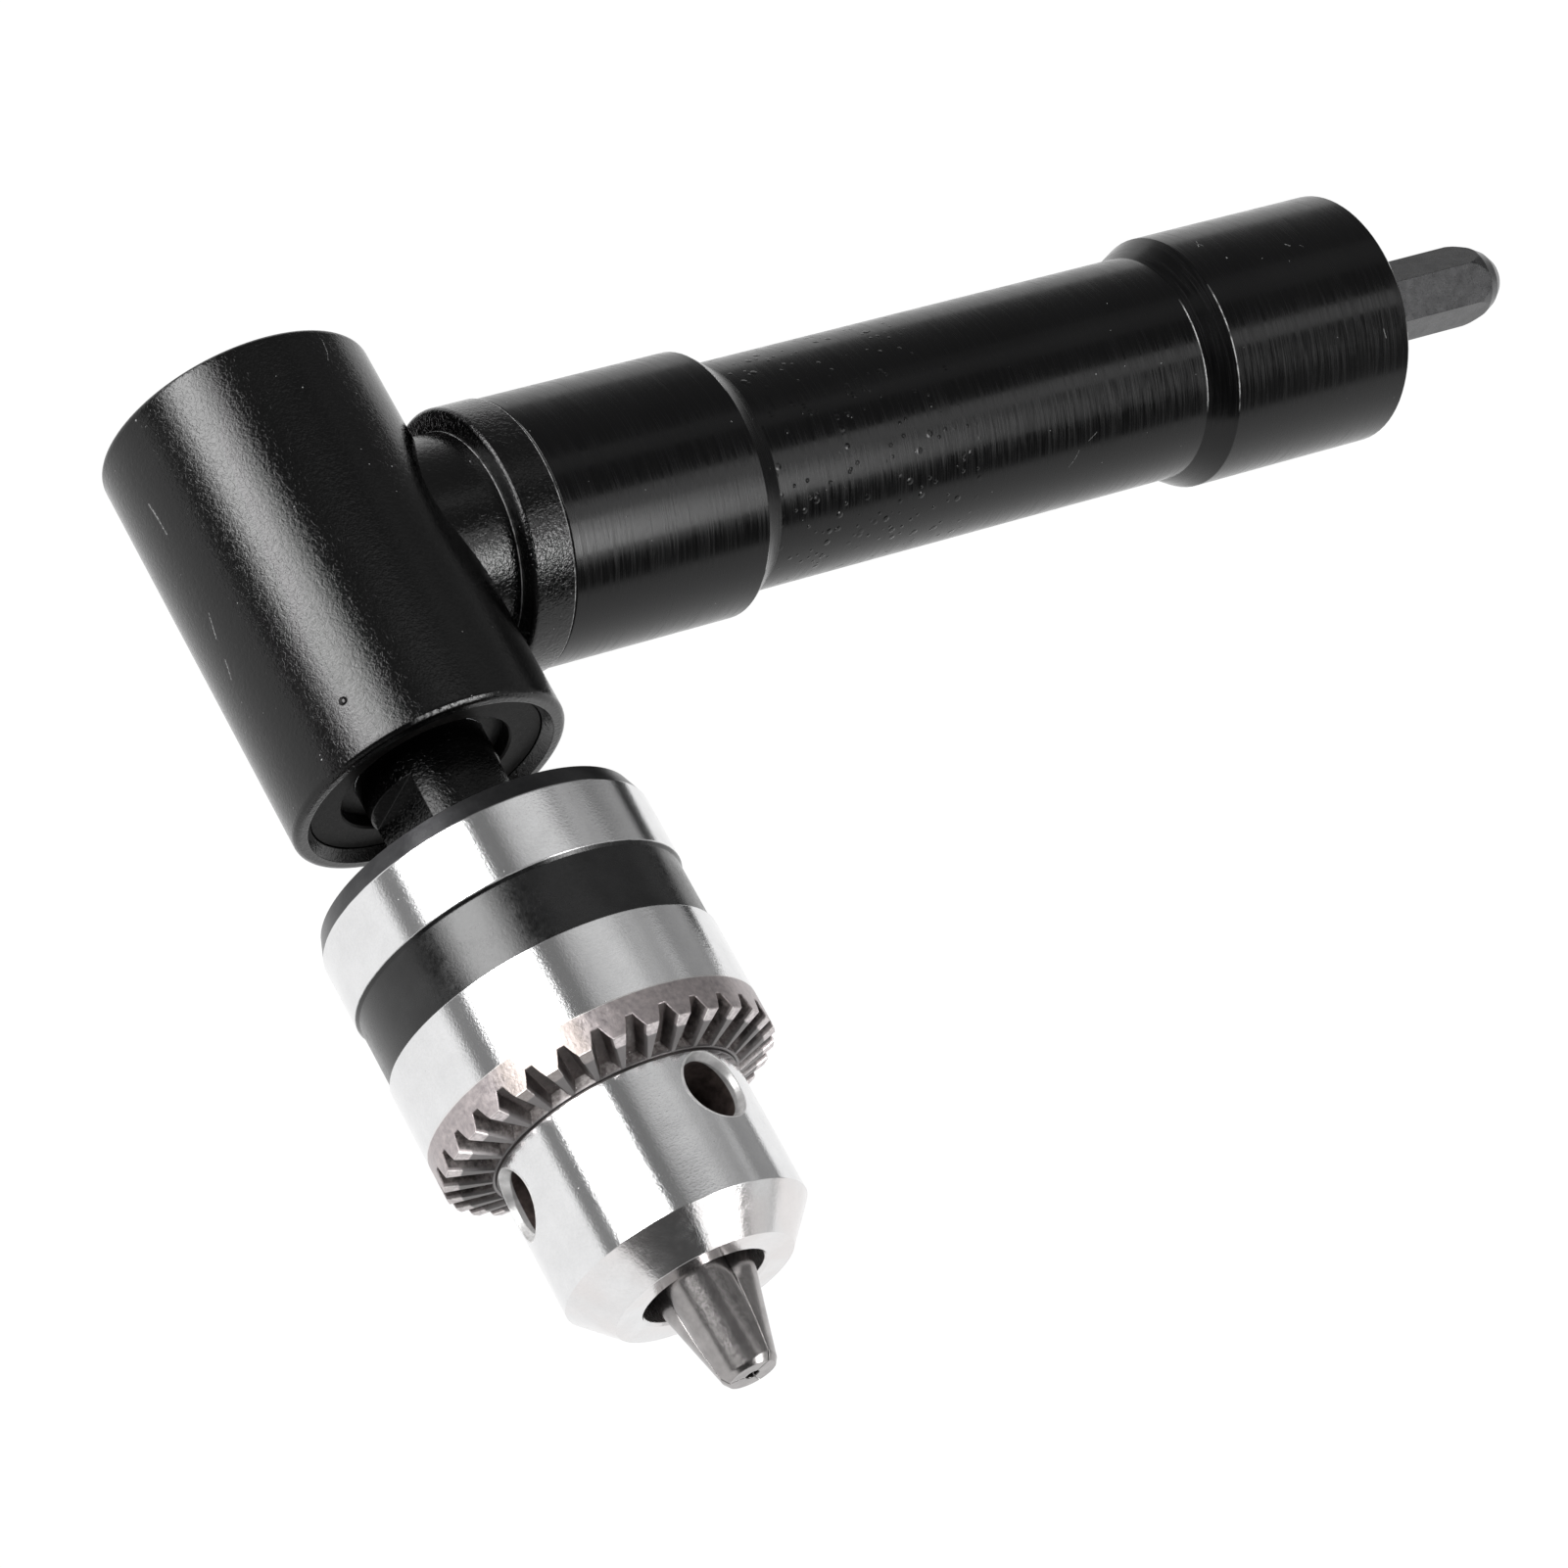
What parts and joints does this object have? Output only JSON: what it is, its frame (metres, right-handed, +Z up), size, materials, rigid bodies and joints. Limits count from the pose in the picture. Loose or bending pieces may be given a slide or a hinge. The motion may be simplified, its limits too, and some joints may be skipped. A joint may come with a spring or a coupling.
{
  "type": "right angle drill attachment",
  "caption": "Right angle drive head with a turned handle, a hexagonal drive shank, mitre gearing inside and a keyed three-jaw chuck on its output spindle.",
  "frame": {"origin": "centre of the footprint of the whole object, at the lowest point of the chuck sleeve, with the object lying on its side", "axes": "+X along the handle axis towards the hexagonal shank; -Y along the chuck axis towards the jaws; +Z up, square to both axes"},
  "size_m": [0.1728, 0.1172, 0.0364],
  "materials": {
    "head_paint": "fine orange-peel, semi-matt",
    "spindle_black": "fine orange-peel, semi-matt",
    "handle_black": "semi-gloss over fine turning marks",
    "retainer_black": "satin",
    "spring_steel": "satin",
    "seal_rubber": "matt",
    "race_steel": "ground",
    "ball_steel": "polished",
    "cage_brass": "pressed",
    "nose_steel": "ground and polished",
    "sleeve_steel": "polished, with a dark band and matt brown-grey teeth",
    "jaw_steel": "dark satin",
    "nut_steel": "hardened",
    "shank_steel": "satin",
    "gear_steel": "sintered, oiled",
    "pin_steel": "ground"
  },
  "bodies": {
    "housing": {"head_housing": "head_paint", "handle": "handle_black", "bearing_retainer": "retainer_black", "lower_bearing_outer_race": "race_steel", "lower_bearing_seals": "seal_rubber", "upper_bearing_outer_race": "race_steel", "front_bearing_outer_race": "race_steel", "front_circlip": "spring_steel", "rear_bearing_outer_race": "race_steel", "rear_bearing_seals": "seal_rubber", "rear_circlip": "spring_steel"},
    "spindle": {"spindle": "spindle_black", "output_bevel_gear": "gear_steel", "output_gear_pin": "pin_steel", "lower_bearing_inner_race": "race_steel", "upper_bearing_inner_race": "race_steel", "chuck_body": "nose_steel"},
    "sleeve": {"chuck_sleeve": "sleeve_steel", "nut_half_a": "nut_steel", "nut_half_b": "nut_steel"},
    "jaw_1": {"jaw_1": "jaw_steel"},
    "jaw_2": {"jaw_2": "jaw_steel"},
    "jaw_3": {"jaw_3": "jaw_steel"},
    "input": {"input_shaft": "shank_steel", "input_bevel_gear": "gear_steel", "input_gear_pin": "pin_steel", "front_bearing_inner_race": "race_steel", "rear_bearing_inner_race": "race_steel", "shaft_circlip": "spring_steel"},
    "lower_cage": {"lower_bearing_balls": "ball_steel", "lower_bearing_cage": "cage_brass"},
    "upper_cage": {"upper_bearing_balls": "ball_steel", "upper_bearing_cage": "cage_brass"},
    "front_cage": {"front_bearing_balls": "ball_steel", "front_bearing_cage": "cage_brass"},
    "rear_cage": {"rear_bearing_balls": "ball_steel", "rear_bearing_cage": "cage_brass"}
  },
  "joints": [
    {"name": "spindle_spin", "type": "hinge", "parent": "housing", "child": "spindle", "pos_m": [-0.0682, 0.03737, 0.0182], "axis": [0, -1, 0], "continuous": true},
    {"name": "input_spin", "type": "hinge", "parent": "housing", "child": "input", "pos_m": [-0.0682, 0.03737, 0.0182], "axis": [1, 0, 0], "continuous": true},
    {"name": "sleeve_turn", "type": "hinge", "parent": "spindle", "child": "sleeve", "pos_m": [-0.0682, 0.03737, 0.0182], "axis": [0, -1, 0], "range_deg": [0, 3360]},
    {"name": "jaw_1_slide", "type": "slide", "parent": "spindle", "child": "jaw_1", "axis": [-0.1653, 0.9636, 0.21], "range_m": [0, 0.0187]},
    {"name": "jaw_2_slide", "type": "slide", "parent": "spindle", "child": "jaw_2", "axis": [-0.0992, 0.9636, -0.2481], "range_m": [0, 0.0187]},
    {"name": "jaw_3_slide", "type": "slide", "parent": "spindle", "child": "jaw_3", "axis": [0.2645, 0.9636, 0.0381], "range_m": [0, 0.0187]},
    {"name": "lower_cage_spin", "type": "hinge", "parent": "housing", "child": "lower_cage", "pos_m": [-0.0682, 0.03737, 0.0182], "axis": [0, -1, 0], "continuous": true},
    {"name": "upper_cage_spin", "type": "hinge", "parent": "housing", "child": "upper_cage", "pos_m": [-0.0682, 0.03737, 0.0182], "axis": [0, -1, 0], "continuous": true},
    {"name": "front_cage_spin", "type": "hinge", "parent": "housing", "child": "front_cage", "pos_m": [-0.0682, 0.03737, 0.0182], "axis": [1, 0, 0], "continuous": true},
    {"name": "rear_cage_spin", "type": "hinge", "parent": "housing", "child": "rear_cage", "pos_m": [-0.0682, 0.03737, 0.0182], "axis": [1, 0, 0], "continuous": true}
  ],
  "couplings": [
    {"joint": "input_spin", "follows": "spindle_spin", "ratio": -1},
    {"joint": "lower_cage_spin", "follows": "spindle_spin", "ratio": 0.37363},
    {"joint": "upper_cage_spin", "follows": "spindle_spin", "ratio": 0.37171},
    {"joint": "front_cage_spin", "follows": "spindle_spin", "ratio": -0.38889},
    {"joint": "rear_cage_spin", "follows": "spindle_spin", "ratio": -0.4},
    {"joint": "jaw_1_slide", "follows": "sleeve_turn", "m_per_rad": 0.00031831},
    {"joint": "jaw_2_slide", "follows": "sleeve_turn", "m_per_rad": 0.00031831},
    {"joint": "jaw_3_slide", "follows": "sleeve_turn", "m_per_rad": 0.00031831}
  ]
}
